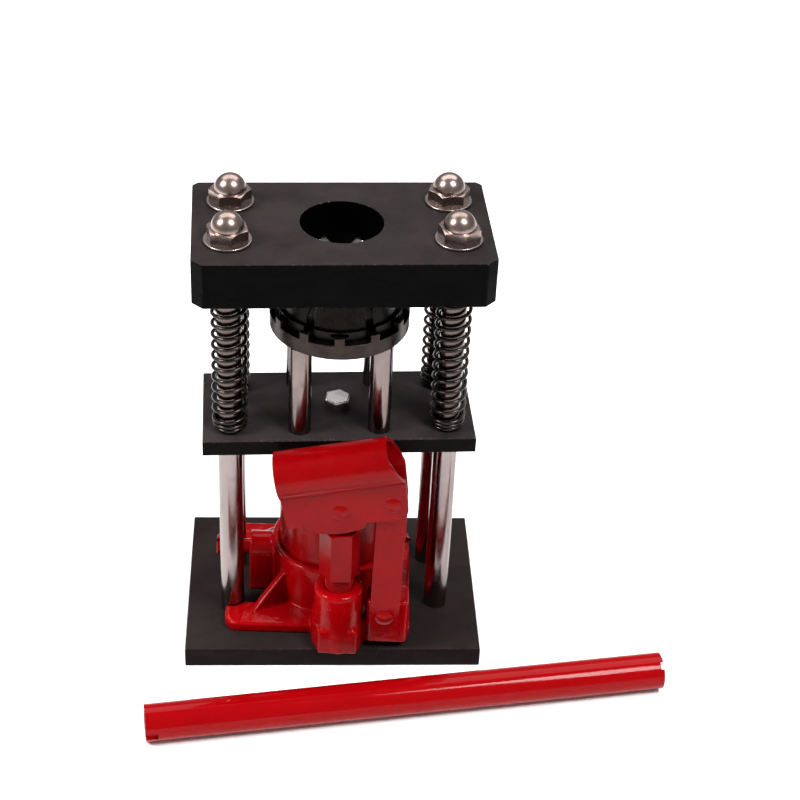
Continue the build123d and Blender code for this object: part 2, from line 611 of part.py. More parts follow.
def make_jack_base():
    """The casting: feet, collar, ribs, pump mount, link lug and valve boss in one piece."""
    features = [pump_mount(), link_lug(), valve_boss()]
    features += [foot_rib(angle) for angle in RIB_ANGLES]
    bores = jack_bores()
    with BuildPart() as base:
        with BuildSketch(jack_level(CAST_Z)) as foot:
            with BuildLine():
                foot_outline()
            make_face()
            left_corners = foot.vertices().group_by(Axis.X)[0]
            fillet(left_corners.sort_by(Axis.Y)[0], FOOT_CORNER)
        extrude(amount=FOOT_THICK)
        fillet(base.edges().group_by(Axis.Z)[-1], CAST_ROUND)
        with BuildSketch(jack_level(CAST_Z)):
            Circle(COLLAR_R)
        extrude(amount=COLLAR_TOP - CAST_Z)
        fillet(base.edges().group_by(Axis.Z)[-1], CAST_ROUND)
        add(features)
        add(bores, mode=Mode.SUBTRACT)
        with BuildSketch(Plane.XY.offset(CAST_Z)):
            with Locations(COLUMNS["front_left"]):
                Circle(COLUMN_R + COLUMN_GAP)
        extrude(amount=FOOT_THICK, mode=Mode.SUBTRACT)
    save(base, "jack_base")


def make_disc(label, low, high, outer, inner=0.0, x=0.0, y=0.0):
    """A plain disc, ring or tube that stands upright in the jack."""
    with BuildPart() as disc:
        with BuildSketch(jack_level(low)):
            with Locations((x, y)):
                Circle(outer)
            if inner:
                with Locations((x, y)):
                    Circle(inner, mode=Mode.SUBTRACT)
        extrude(amount=high - low)
    save(disc, label)


def make_tank():
    """Oil tank tube, with the filler hole at its rear."""
    with BuildPart() as tank:
        with BuildSketch(jack_level(TANK_SEAT)):
            Circle(TANK_R)
            Circle(TANK_R - TANK_WALL, mode=Mode.SUBTRACT)
        extrude(amount=TANK_TOP - TANK_SEAT)
        with BuildSketch(jack_front(TANK_R)):
            with Locations((0, TANK_TOP - OIL_PLUG_DROP)):
                Circle(OIL_PLUG_R)
        extrude(amount=2 * TANK_WALL, both=True, mode=Mode.SUBTRACT)
    save(tank, "oil_tank")


def make_oil_plug():
    """Rubber plug in the filler hole at the rear of the tank."""
    with BuildPart() as plug:
        with BuildSketch(jack_front(TANK_R)):
            with Locations((0, TANK_TOP - OIL_PLUG_DROP)):
                Circle(OIL_PLUG_HEAD_R)
        extrude(amount=-OIL_PLUG_HEAD)
        with BuildSketch(jack_front(TANK_R)):
            with Locations((0, TANK_TOP - OIL_PLUG_DROP)):
                Circle(OIL_PLUG_R)
        extrude(amount=2 * TANK_WALL)
        chamfer(plug.edges().group_by(Axis((0, 0, 0), JACK_Y))[-1], OIL_PLUG_CHAMFER)
    save(plug, "oil_plug")


def make_tank_top_nut():
    """Cap nut that clamps the tank and guides the ram."""
    seat = TANK_TOP + SEAL_THICK
    with BuildPart() as nut:
        with BuildSketch(jack_level(seat)):
            Circle(TOP_NUT_R)
        extrude(amount=TOP_NUT_FLANGE - seat)
        chamfer(nut.edges().group_by(Axis.Z)[-1], TOP_NUT_CHAMFER)
        with BuildSketch(jack_level(TOP_NUT_FLANGE)):
            RegularPolygon(TOP_NUT_FLATS / 2, 6, major_radius=False)
        extrude(amount=TOP_NUT_TOP - TOP_NUT_FLANGE)
        with BuildSketch(jack_level(seat)):
            Circle(CYLINDER_R)
        extrude(amount=CYLINDER_TOP - seat, mode=Mode.SUBTRACT)
        with BuildSketch(jack_level(seat)):
            Circle(RAM_R + PUMP_FIT)
        extrude(amount=TOP_NUT_TOP - seat, mode=Mode.SUBTRACT)
        with BuildSketch(jack_level(WIPER_FOOT)):
            Circle(WIPER_R)
        extrude(amount=TOP_NUT_TOP - WIPER_FOOT, mode=Mode.SUBTRACT)
    save(nut, "tank_top_nut")


# ---------------------------------------------------------------- pump
def make_pump_body():
    """Hexagonal pump barrel with a threaded neck, screwed into its boss."""
    thread_top = PUMP_HEX_Z - PUMP_BOSS_TOP
    ridges = int(thread_top / THREAD_PITCH)
    centre = jack_point(PUMP_X, PUMP_Y, 0)
    cone = PUMP_HEX_FLATS / 2
    with BuildPart() as body:
        with BuildSketch(jack_level(PUMP_SEAT, PUMP_X, PUMP_Y)):
            Circle(PUMP_THREAD_R)
        extrude(amount=PUMP_HEX_Z - PUMP_SEAT)
        with BuildSketch(jack_level(PUMP_HEX_Z, PUMP_X, PUMP_Y)):
            RegularPolygon(PUMP_HEX_FLATS / 2, 6, major_radius=False, rotation=PUMP_HEX_TURN)
        extrude(amount=PUMP_HEX_TOP - PUMP_HEX_Z)
        with BuildSketch(Plane(origin=centre, x_dir=JACK_X, z_dir=JACK_Y * -1)):
            with BuildLine():
                Polyline(
                    (cone, PUMP_HEX_TOP),
                    (cone + HEX_CUTTER, PUMP_HEX_TOP),
                    (cone + HEX_CUTTER, PUMP_HEX_TOP - HEX_CUTTER * HEX_SLOPE),
                    close=True,
                )
            make_face()
            for index in range(ridges):
                level = PUMP_BOSS_TOP + (index + 0.5) * THREAD_PITCH
                with BuildLine():
                    Polyline(
                        (PUMP_THREAD_R - THREAD_DEPTH, level),
                        (PUMP_THREAD_R + THREAD_DEPTH, level - THREAD_PITCH),
                        (PUMP_THREAD_R + THREAD_DEPTH, level + THREAD_PITCH),
                        close=True,
                    )
                make_face()
        revolve(axis=Axis(centre, (0, 0, 1)), mode=Mode.SUBTRACT)
        with BuildSketch(jack_level(PUMP_CHAMBER_Z, PUMP_X, PUMP_Y)):
            Circle(PLUNGER_R + PUMP_FIT)
        extrude(amount=PUMP_HEX_TOP - PUMP_CHAMBER_Z, mode=Mode.SUBTRACT)
        with BuildSketch(jack_level(PUMP_SEAT, PUMP_X, PUMP_Y)):
            Circle(OIL_WAY_R)
        extrude(amount=PUMP_CHAMBER_Z - PUMP_SEAT, mode=Mode.SUBTRACT)
    save(body, "pump_body")


def make_pump_plunger():
    """Plunger with a round head, whose eye takes the handle socket's pin."""
    pin_x, pin_z = PLUNGER_PIN
    with BuildPart() as plunger:
        with BuildSketch(jack_level(PLUNGER_FOOT, PUMP_X, PUMP_Y)):
            Circle(PLUNGER_R)
        extrude(amount=pin_z - PLUNGER_FOOT)
        with BuildSketch(jack_level(PLUNGER_SEAL_Z, PUMP_X, PUMP_Y)):
            Circle(PLUNGER_R)
            Circle(PLUNGER_GROOVE_R, mode=Mode.SUBTRACT)
        extrude(amount=PLUNGER_SEAL_HEIGHT, mode=Mode.SUBTRACT)
        with BuildSketch(jack_front(PUMP_Y)):
            with Locations((PUMP_X, pin_z)):
                Circle(PLUNGER_HEAD_R)
        extrude(amount=PLUNGER_EYE_HALF, both=True)
        with BuildSketch(jack_front(PUMP_Y)):
            with Locations((pin_x + EYE_SHIFT_X, pin_z + EYE_SHIFT_Z)):
                SlotCenterToCenter(2 * EYE_REACH, 2 * EYE_R)
        extrude(amount=PLUNGER_EYE_HALF, both=True, mode=Mode.SUBTRACT)
    save(plunger, "pump_plunger")


def make_ball(label, x, y, seat):
    """Steel check ball that rests on its seat."""
    with BuildPart() as ball:
        with BuildSketch(Plane(jack_point(x, y, seat + BALL_R), x_dir=JACK_X, z_dir=JACK_Y * -1)):
            Circle(BALL_R)
            with Locations((-BALL_R, 0)):
                Rectangle(2 * BALL_R, 2 * BALL_R, mode=Mode.SUBTRACT)
        revolve(axis=Axis(jack_point(x, y, 0), (0, 0, 1)))
    save(ball, label)


# ---------------------------------------------------------------- handle socket and links
def make_link(name, side):
    """Cranked strap beside the lug below and inside the socket's ears above."""
    upper_in, upper_out = (LINK_UPPER - LINK_THICK) * side, LINK_UPPER * side
    lower_in, lower_out = (LINK_LOWER - LINK_THICK) * side, LINK_LOWER * side
    top = FULCRUM_PIN[1] + LINK_HALF_WIDTH
    foot = LINK_PIN_Z - LINK_HALF_WIDTH
    strap_side = Plane(
        origin=jack_point(LINK_X, PUMP_Y, 0), x_dir=JACK_Y, z_dir=JACK_X
    )
    middle_x, middle_z = (LINK_PIN_X + FULCRUM_PIN[0]) / 2, (LINK_PIN_Z + FULCRUM_PIN[1]) / 2
    rise, run = FULCRUM_PIN[1] - LINK_PIN_Z, FULCRUM_PIN[0] - LINK_PIN_X
    with BuildPart() as link:
        with BuildSketch(strap_side):
            with BuildLine():
                Polyline(
                    (lower_in, foot),
                    (lower_out, foot),
                    (lower_out, LINK_BEND_FOOT),
                    (upper_out, LINK_BEND_TOP),
                    (upper_out, top),
                    (upper_in, top),
                    (upper_in, LINK_BEND_TOP),
                    (lower_in, LINK_BEND_FOOT),
                    close=True,
                )
            make_face()
        extrude(amount=2 * LINK_HALF_WIDTH, both=True)
        with BuildSketch(jack_front(PUMP_Y)):
            with Locations((middle_x, middle_z)):
                SlotCenterToCenter(rise, 2 * LINK_HALF_WIDTH, rotation=90 - degrees(atan2(run, rise)))
            with Locations((LINK_PIN_X, LINK_PIN_Z), FULCRUM_PIN):
                Circle(PIN_R + PIN_FIT, mode=Mode.SUBTRACT)
        extrude(amount=LINK_LOWER + LINK_THICK, both=True, mode=Mode.INTERSECT)
    save(link, f"link_{name}")


def socket_outline():
    """Side view of the socket and its ears, along and across the tilted tube."""
    Polyline(
        EAR_LOBE_LEFT,
        EAR_LEFT_NECK,
        (SOCKET_LEFT, EAR_LEFT_NECK[1]),
        (SOCKET_LEFT, SOCKET_R),
        (MOUTH_TOP[0], SOCKET_R),
        MOUTH_TOP,
        MOUTH_TIP,
        EAR_HEEL_RIGHT,
    )
    ThreePointArc(EAR_HEEL_RIGHT, EAR_HEEL, EAR_HEEL_LEFT)
    Polyline(EAR_HEEL_LEFT, EAR_RIGHT_NECK, EAR_LOBE_RIGHT)
    ThreePointArc(EAR_LOBE_RIGHT, EAR_LOBE_FOOT, EAR_LOBE_LEFT)


def make_handle_socket():
    """Rolled tube, open below, whose edges run down as two ears."""
    length = SOCKET_RIGHT - SOCKET_LEFT
    ear_height = -EAR_FOOT
    across = Plane(
        origin=jack_point(0, PUMP_Y, SOCKET_AXIS_Z) + SOCKET_S * SOCKET_LEFT,
        x_dir=JACK_Y,
        z_dir=SOCKET_S,
    )
    with BuildPart() as socket:
        with BuildSketch(across):
            Circle(SOCKET_R)
            with Locations((0, EAR_FOOT / 2)):
                Rectangle(2 * EAR_OUTER, ear_height)
            Circle(SOCKET_BORE_R, mode=Mode.SUBTRACT)
            with Locations((0, EAR_FOOT / 2)):
                Rectangle(2 * EAR_INNER, ear_height, mode=Mode.SUBTRACT)
        extrude(amount=length)
        with BuildSketch(socket_side(PUMP_Y)):
            with BuildLine():
                socket_outline()
            make_face()
            with Locations((PLUNGER_PIN_S, EAR_PIN_DROP), (FULCRUM_PIN_S, EAR_PIN_DROP)):
                Circle(PIN_R + PIN_FIT, mode=Mode.SUBTRACT)
        extrude(amount=2 * SOCKET_R, both=True, mode=Mode.INTERSECT)
    save(socket, "handle_socket")


def make_pin(label, x, z, front, rear):
    """Pin across the jack from front to rear, with a domed head at the front."""
    dome = (PIN_HEAD_R**2 + PIN_HEAD**2) / (2 * PIN_HEAD)
    with BuildPart() as pin:
        with BuildSketch(jack_front(front)):
            with Locations((x, z)):
                Circle(PIN_R)
        extrude(amount=front - rear)
        with BuildSketch(Plane(jack_point(x, front, z), x_dir=JACK_X, z_dir=(0, 0, 1))):
            with BuildLine():
                Line((0, 0), (PIN_HEAD_R, 0))
                RadiusArc((PIN_HEAD_R, 0), (0, -PIN_HEAD), dome)
                Line((0, -PIN_HEAD), (0, 0))
            make_face()
        revolve(axis=Axis(jack_point(x, front, z), JACK_Y))
        with BuildSketch(jack_front(rear - CLIP_TAIL)):
            with Locations((x, z)):
                Circle(PIN_R)
                Circle(CLIP_INNER_R, mode=Mode.SUBTRACT)
        extrude(amount=CLIP_THICK, mode=Mode.SUBTRACT)
    save(pin, label)


def make_clip(label, x, z, rear):
    """Spring clip in the groove at a pin's rear end, open on one side."""
    with BuildPart() as clip:
        with BuildSketch(jack_front(rear - CLIP_TAIL)):
            with Locations((x, z)):
                Circle(CLIP_R)
                Circle(CLIP_INNER_R, mode=Mode.SUBTRACT)
            with Locations((x, z - CLIP_R)):
                Rectangle(CLIP_MOUTH, 2 * CLIP_R, mode=Mode.SUBTRACT)
        extrude(amount=CLIP_THICK)
    save(clip, label)


# ---------------------------------------------------------------- release valve and handle
def make_release_valve():
    """Screw with a cone at its tip and a slotted round head."""
    with BuildPart() as valve:
        with BuildSketch(jack_side(VALVE_HEAD_OUT)):
            with Locations((0, VALVE_Z)):
                Circle(VALVE_HEAD_R)
        extrude(amount=VALVE_HEAD_IN - VALVE_HEAD_OUT)
        chamfer(valve.edges(), VALVE_CHAMFER)
        with BuildSketch(jack_side(VALVE_HEAD_IN)):
            with Locations((0, VALVE_Z)):
                Circle(VALVE_STEM_R)
        extrude(amount=VALVE_TIP - VALVE_CONE - VALVE_HEAD_IN)
        with BuildSketch(jack_side(VALVE_TIP - VALVE_CONE)):
            with Locations((0, VALVE_Z)):
                Circle(VALVE_STEM_R)
        extrude(amount=VALVE_CONE, taper=45)
        with BuildSketch(jack_side(VALVE_HEAD_OUT)):
            with Locations((0, VALVE_Z)):
                Rectangle(VALVE_SLOT_WIDTH, 3 * VALVE_HEAD_R, rotation=VALVE_SLOT_TURN)
        extrude(amount=VALVE_SLOT_DEPTH, mode=Mode.SUBTRACT)
    save(valve, "release_valve")


def make_release_packing():
    with BuildPart() as packing:
        with BuildSketch(jack_side(VALVE_BOSS_END)):
            with Locations((0, VALVE_Z)):
                Circle(PACKING_R)
                Circle(VALVE_STEM_R + PUMP_FIT, mode=Mode.SUBTRACT)
        extrude(amount=PACKING_LENGTH)
    save(packing, "release_packing")


def make_pump_handle():
    """Loose tube that fits the socket; its slotted end also turns the release valve."""
    yaw = radians(HANDLE_YAW)
    along = Vector(cos(yaw), sin(yaw), 0)
    start = Vector(*HANDLE_START, HANDLE_R)
    front = Vector(sin(yaw), -cos(yaw), 0)
    notch = radians(HANDLE_NOTCH_ANGLE)
    slot = radians(HANDLE_SLOT_ANGLE)
    slot_side = front * cos(slot) + Vector(0, 0, sin(slot))
    notch_side = front * cos(notch) + Vector(0, 0, sin(notch))
    with BuildPart() as handle:
        with BuildSketch(Plane(start, x_dir=front, z_dir=along)):
            Circle(HANDLE_R)
            Circle(HANDLE_R - HANDLE_WALL, mode=Mode.SUBTRACT)
        extrude(amount=HANDLE_LENGTH)
        with BuildSketch(Plane(start, x_dir=slot_side, z_dir=along)):
            Rectangle(4 * HANDLE_R, HANDLE_SLOT_WIDTH)
        extrude(amount=HANDLE_SLOT_DEPTH, mode=Mode.SUBTRACT)
        end = start + along * HANDLE_LENGTH + notch_side * HANDLE_R
        with BuildSketch(Plane(end, x_dir=notch_side, z_dir=along * -1)):
            Rectangle(3 * HANDLE_WALL, HANDLE_NOTCH_WIDTH)
        extrude(amount=HANDLE_NOTCH_DEPTH, mode=Mode.SUBTRACT)
    save(handle, "pump_handle")


# ---------------------------------------------------------------- build
make_base_plate()
make_top_plate()
make_column_washers()
make_column_nuts()
for place, (column_x, column_y) in COLUMNS.items():
    make_column(place, column_x, column_y)
    make_return_spring(place, column_x, column_y)

make_moving_plate()
make_ram()
make_piston_seal()
make_ram_bolt()
for place, (post_x, post_y) in POSTS.items():
    make_push_post(place, post_x, post_y)
make_die_ring()
for die_index in range(DIE_COUNT):
    make_die_segment(die_index)

make_jack_base()
make_disc("tank_seal_lower", TANK_SEAT - SEAL_THICK, TANK_SEAT, TANK_R, TANK_R - 2 * TANK_WALL)
make_tank()
make_disc("tank_seal_upper", TANK_TOP, TANK_TOP + SEAL_THICK, TANK_R, TANK_R - 2 * TANK_WALL)
make_disc("cylinder_gasket", CYLINDER_SEAT, CYLINDER_SEAT + SEAL_THICK, CYLINDER_R, CYLINDER_BORE_R)
make_disc("pressure_cylinder", CYLINDER_SEAT + SEAL_THICK, CYLINDER_TOP, CYLINDER_R, CYLINDER_BORE_R)
make_tank_top_nut()
make_disc("ram_wiper", WIPER_FOOT, TOP_NUT_TOP + WIPER_LIP, WIPER_R, RAM_R + PUMP_FIT)
make_oil_plug()

make_disc(
    "pump_gasket", PUMP_SEAT - SEAL_THICK, PUMP_SEAT, PUMP_THREAD_R, BALL_R, PUMP_X, PUMP_Y
)
make_pump_body()
make_pump_plunger()
make_disc(
    "plunger_seal",
    PLUNGER_SEAL_Z,
    PLUNGER_SEAL_Z + PLUNGER_SEAL_HEIGHT,
    PLUNGER_R,
    PLUNGER_GROOVE_R,
    PUMP_X,
    PUMP_Y,
)
make_ball("suction_ball", PUMP_X, PUMP_Y, PUMP_SEAT - SEAL_THICK - BALL_POCKET)
make_ball("discharge_ball", 0, 0, CYLINDER_SEAT - BALL_POCKET)

make_handle_socket()
make_link("front", -1)
make_link("rear", 1)
PIN_RUNS = {
    "link": ((LINK_PIN_X, LINK_PIN_Z), LINK_LOWER),
    "fulcrum": (FULCRUM_PIN, EAR_OUTER),
    "plunger": (PLUNGER_PIN, EAR_OUTER),
}
for pin_name, ((pin_x, pin_z), reach) in PIN_RUNS.items():
    make_pin(f"{pin_name}_pin", pin_x, pin_z, PUMP_Y - reach, PUMP_Y + reach + PIN_TAIL)
    make_clip(f"{pin_name}_pin_clip", pin_x, pin_z, PUMP_Y + reach + PIN_TAIL)

make_release_valve()
make_release_packing()
make_pump_handle()
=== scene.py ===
"""Looks of the hand hydraulic hose-crimping press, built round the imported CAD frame.

Metres, in the frame's own axes: the press stands on z = 0, +X right, +Y away, +Z up.
"""

import json
from math import cos, pi, radians, sin

import bmesh
import bpy
from mathutils import Matrix, Vector


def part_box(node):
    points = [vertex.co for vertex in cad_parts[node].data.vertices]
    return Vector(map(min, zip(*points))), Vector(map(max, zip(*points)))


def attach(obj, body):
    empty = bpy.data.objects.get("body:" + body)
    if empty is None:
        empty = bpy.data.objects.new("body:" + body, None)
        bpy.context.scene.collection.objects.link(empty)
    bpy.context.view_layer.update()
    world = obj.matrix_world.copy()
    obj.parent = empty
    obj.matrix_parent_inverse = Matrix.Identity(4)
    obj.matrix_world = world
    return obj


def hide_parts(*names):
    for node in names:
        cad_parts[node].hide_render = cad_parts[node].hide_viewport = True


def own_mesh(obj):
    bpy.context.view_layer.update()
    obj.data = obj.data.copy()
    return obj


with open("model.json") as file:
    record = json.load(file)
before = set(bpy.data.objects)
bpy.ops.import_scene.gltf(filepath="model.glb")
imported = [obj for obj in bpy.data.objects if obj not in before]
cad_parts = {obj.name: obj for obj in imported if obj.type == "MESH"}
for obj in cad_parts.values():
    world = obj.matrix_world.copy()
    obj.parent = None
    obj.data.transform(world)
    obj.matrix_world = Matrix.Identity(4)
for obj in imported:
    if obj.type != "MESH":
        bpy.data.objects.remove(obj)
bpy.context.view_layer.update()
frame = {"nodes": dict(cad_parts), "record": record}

MM = 0.001
NODES = frame["nodes"]
BODIES = frame["record"]["behaviour"]["bodies"]
BODY_OF = {node: body for body, nodes in BODIES.items() for node in nodes}
SLOT_OF = {row["node"]: row["material_slot"] for row in frame["record"]["subparts"]}
PLACES = ("front_left", "front_right", "rear_left", "rear_right")

# Camera: degrees and millimetres, metres for its place
CAMERA_PLACE = (-0.05316, -0.81983, 0.71929)
CAMERA_YAW, CAMERA_PITCH, CAMERA_ROLL = 6.677, 35.165, 3.186
CAMERA_LENS, CAMERA_SENSOR = 84.07, 36.0
CAMERA_SHIFT = (-0.0206, 0.0032)

# Softboxes: place, width and height in metres, power in watts; all aim at LIGHT_AIM
LIGHT_AIM = (0, 0, 0.1)
SOFTBOXES = {
    "left_box": ((-1.35, -0.35, 1.45), 0.5, 0.6, 40),
    "right_box": ((0.75, -0.75, 1.75), 0.5, 0.6, 36),
    "top_box": ((0.0, 1.2, 2.2), 3.4, 1.6, 50),
}
WORLD_STRENGTH = 0.32
FLOOR_HALF, FLOOR_DROP = 6.0, 0.0002

# Springs: sizes in metres, angles in degrees, closed ends counted in turns
WIRE = 1.0 * MM
SPRING_TURNS, CLOSED_BELOW, CLOSED_ABOVE = 15.5, 2.4, 1.2
CLOSED_PITCH = 2.3 * WIRE
SPRING_PINCH = 0.6 * MM
SPRING_FIRST_ANGLE, SPRING_ANGLE_STEP = 40, 95
AROUND_WIRE, STEPS_PER_TURN = 14, 44
SPRING_SMOOTH_ANGLE = 60

# Edges sharper than this many degrees stay edges, and those of rounded pieces are bevelled
EDGE_ANGLE = 32
FLAT_ANGLE = 0.6
WELD = 0.002 * MM
BEVEL_SEGMENTS = 3
CAST_VOXEL, CAST_PASSES = 0.7 * MM, 6

# Bevel widths in millimetres of the pieces whose edges are rounded
ROUNDED = {
    "base_plate": 0.6,
    "moving_plate": 0.5,
    "top_plate": 0.5,
    "column_nuts": 0.3,
    "column_washers": 0.45,
    "ram_bolt": 0.4,
    "die_ring": 0.35,
    "handle_socket": 0.9,
    "link_front": 0.7,
    "link_rear": 0.7,
    "tank_top_nut": 0.8,
    "oil_tank": 0.4,
    "pump_body": 0.5,
    "pump_plunger": 0.4,
    "release_valve": 0.4,
    "pump_handle": 0.35,
}
ROUNDED.update({f"{pin}_pin": 0.5 for pin in ("link", "fulcrum", "plunger")})
ROUNDED.update({f"die_segment_{index}": 0.3 for index in range(1, 7)})

# Height in millimetres above which the columns are painted darker, as painted shade inside the
# springs
SPRING_SHADE_FROM = 139
SPRING_SHADE_FADE = 4

# Pieces whose finish differs from the others in their material slot; the base and moving plates
# differ mainly in the painted shade of their sides
FINISH_OF = {
    "base_plate": "base_black",
    "moving_plate": "moving_black",
    "column_washers": "washer_steel",
    "pump_handle": "handle_paint",
    "ram_bolt": "bolt_steel",
    "jack_base": "cast_paint",
}


# ---------------------------------------------------------------- shader helpers
class Surface:
    """A Principled shader, with short ways to feed its sockets from procedural nodes."""

    def __init__(self, name, **fixed):
        self.material = bpy.data.materials.new(name)
        self.material.use_nodes = True
        self.tree = self.material.node_tree
        self.shader = self.tree.nodes["Principled BSDF"]
        for socket, value in fixed.items():
            self.shader.inputs[socket.replace("_", " ")].default_value = value
        coords = self.add("ShaderNodeTexCoord")
        self.place = coords.outputs["Object"]
        self.normal = coords.outputs["Normal"]
        self.last_bump = None

    def add(self, kind, inputs=None, **settings):
        node = self.tree.nodes.new(kind)
        for key, value in settings.items():
            setattr(node, key, value)
        for key, value in (inputs or {}).items():
            self.feed(node.inputs[key], value)
        return node

    def feed(self, socket, value):
        if isinstance(value, bpy.types.NodeSocket):
            self.tree.links.new(value, socket)
        else:
            socket.default_value = value

    def stretched(self, x=1.0, y=1.0, z=1.0):
        """Object coordinates scaled along each axis: under 1 makes a pattern longer that way."""
        return self.add("ShaderNodeMapping", {"Vector": self.place, "Scale": (x, y, z)}).outputs[0]

    def noise(self, size, detail=3.0, roughness=0.5, distortion=0.0, where=None):
        """Noise whose features are about size millimetres across."""
        inputs = {
            "Vector": where or self.place,
            "Scale": 1.0 / (size * MM),
            "Detail": detail,
            "Roughness": roughness,
            "Distortion": distortion,
        }
        return self.add("ShaderNodeTexNoise", inputs).outputs["Fac"]

    def span(self, value, low, high, to_low=0.0, to_high=1.0):
        """Stretches value from low..high to to_low..to_high, and holds it there outside."""
        inputs = {
            "Value": value,
            "From Min": low,
            "From Max": high,
            "To Min": to_low,
            "To Max": to_high,
        }
        return self.add("ShaderNodeMapRange", inputs, clamp=True).outputs["Result"]

    def math(self, operation, a, b=0.0):
        node = self.add("ShaderNodeMath", operation=operation)
        self.feed(node.inputs[0], a)
        self.feed(node.inputs[1], b)
        return node.outputs[0]

    def mix(self, share, first, second):
        """Mixes two colours."""
        node = self.add("ShaderNodeMix", data_type="RGBA")
        self.feed(node.inputs["Factor"], share)
        self.feed(node.inputs[6], as_color(first))
        self.feed(node.inputs[7], as_color(second))
        return node.outputs[2]

    def bump(self, height, strength, depth):
        """Adds a bump of depth millimetres on top of those before."""
        node = self.add(
            "ShaderNodeBump",
            {"Height": height, "Strength": strength, "Distance": depth * MM},
        )
        if self.last_bump:
            self.feed(node.inputs["Normal"], self.last_bump)
        self.last_bump = node.outputs[0]
        return node.outputs[0]

    def up(self):
        """1 where the surface faces straight up, 0 on upright faces."""
        return self.add("ShaderNodeSeparateXYZ", {0: self.normal}).outputs[2]

    def edges(self, reach, low=0.03, high=0.22):
        """1 on outer and inner edges, fading out about reach millimetres from them."""
        soft = self.add("ShaderNodeBevel", {"Radius": reach * MM}, samples=6).outputs[0]
        true = self.add("ShaderNodeNewGeometry").outputs["Normal"]
        dot = self.add("ShaderNodeVectorMath", {0: soft, 1: true}, operation="DOT_PRODUCT")
        return self.span(self.math("SUBTRACT", 1.0, dot.outputs["Value"]), low, high)

    def finish(self, **inputs):
        for key, value in inputs.items():
            socket = self.shader.inputs[key.replace("_", " ")]
            self.feed(socket, as_color(value) if key.endswith("Color") else value)
        if self.last_bump:
            self.feed(self.shader.inputs["Normal"], self.last_bump)
        return self.material


def as_color(value):
    if isinstance(value, bpy.types.NodeSocket) or len(value) == 4:
        return value
    return (*value, 1.0)


# ---------------------------------------------------------------- materials
def red_enamel(name, base, peel, lumps, gloss, mottle):
    """Thick red enamel: orange peel, slow waves where it ran, darker where it lies thin."""
    s = Surface(name, Specular_IOR_Level=0.10)
    tone = s.noise(22, 3.0, 0.55)
    blotch = s.noise(4.5, 4.0, 0.62)
    colour = s.mix(s.span(tone, 0.33, 0.68, 0.0, mottle), base, tinted(base, 0.70))
    thin = s.span(blotch, 0.56, 0.80, 0.0, 0.45 * mottle)
    colour = s.mix(thin, colour, tinted(base, 0.45))
    rim = s.math("MULTIPLY", s.edges(1.4, 0.015, 0.10), s.span(s.noise(2.5, 3.0), 0.40, 0.62))
    colour = s.mix(s.math("MULTIPLY", rim, 0.55), colour, (0.11, 0.004, 0.006))
    chips = s.math("MULTIPLY", s.edges(0.9, 0.02, 0.10), s.span(s.noise(1.3, 3.0), 0.63, 0.68))
    colour = s.mix(chips, colour, (0.045, 0.030, 0.028))
    s.bump(s.noise(1.1, 2.0, 0.4), 0.12, peel)
    s.bump(s.noise(8, 2.0, 0.5, 0.5), 0.45, lumps)
    s.bump(s.noise(3.0, 3.0, 0.55), 0.35, lumps * 0.5)
    return s.finish(Base_Color=colour, Roughness=s.span(s.noise(12, 3.0), 0.3, 0.75, *gloss))


def black_plate(name, top_light, top_dark, side_shade_light, side_shade_dark):
    """Blackened steel plate: rolled, clouded top, saw-cut sides painted darker as shade, bare nicks
    along its corners.
    """
    s = Surface(name)
    cloud = s.span(s.noise(30, 4.0, 0.6), 0.34, 0.66)
    fine = s.noise(0.9, 4.0, 0.7)
    stain = s.span(s.noise(13, 4.0, 0.65, 0.6), 0.52, 0.74, 0.0, 0.55)
    top = s.mix(cloud, top_light, top_dark)
    top = s.mix(stain, top, [c * t for c, t in zip(top_light, (1.15, 1.0, 0.82))])
    top = s.mix(s.span(fine, 0.55, 0.85, 0.0, 0.30), top, tinted(top_light, 1.7))
    marks = s.noise(6, 4.0, 0.7, 0.8, where=s.stretched(0.35, 0.35, 1.0))
    # Upright faces take the side tones, painted darker than the top as shade from light falling
    # from above.
    side = s.mix(s.span(marks, 0.40, 0.72), side_shade_dark, side_shade_light)
    face_up = s.span(s.up(), 0.45, 0.75)
    colour = s.mix(face_up, side, top)
    worn = s.span(s.noise(1.5, 4.0, 0.7), 0.56, 0.64)
    nicks = s.math("MULTIPLY", s.edges(1.3, 0.012, 0.07), worn)
    colour = s.mix(s.math("MULTIPLY", nicks, 0.7), colour, (0.16, 0.135, 0.125))
    s.bump(s.noise(1.0, 2.0, 0.6, where=s.stretched(0.10, 0.10, 1.0)), 0.30, 0.08)
    s.bump(marks, 0.25, 0.12)
    s.bump(fine, 0.18, 0.04)
    rough = s.span(s.noise(14, 3.0), 0.3, 0.7, 0.36, 0.50)
    rough = s.math("ADD", rough, s.span(face_up, 0, 1, 0.16, 0.0))
    return s.finish(Base_Color=colour, Roughness=rough, Specular_IOR_Level=0.035)


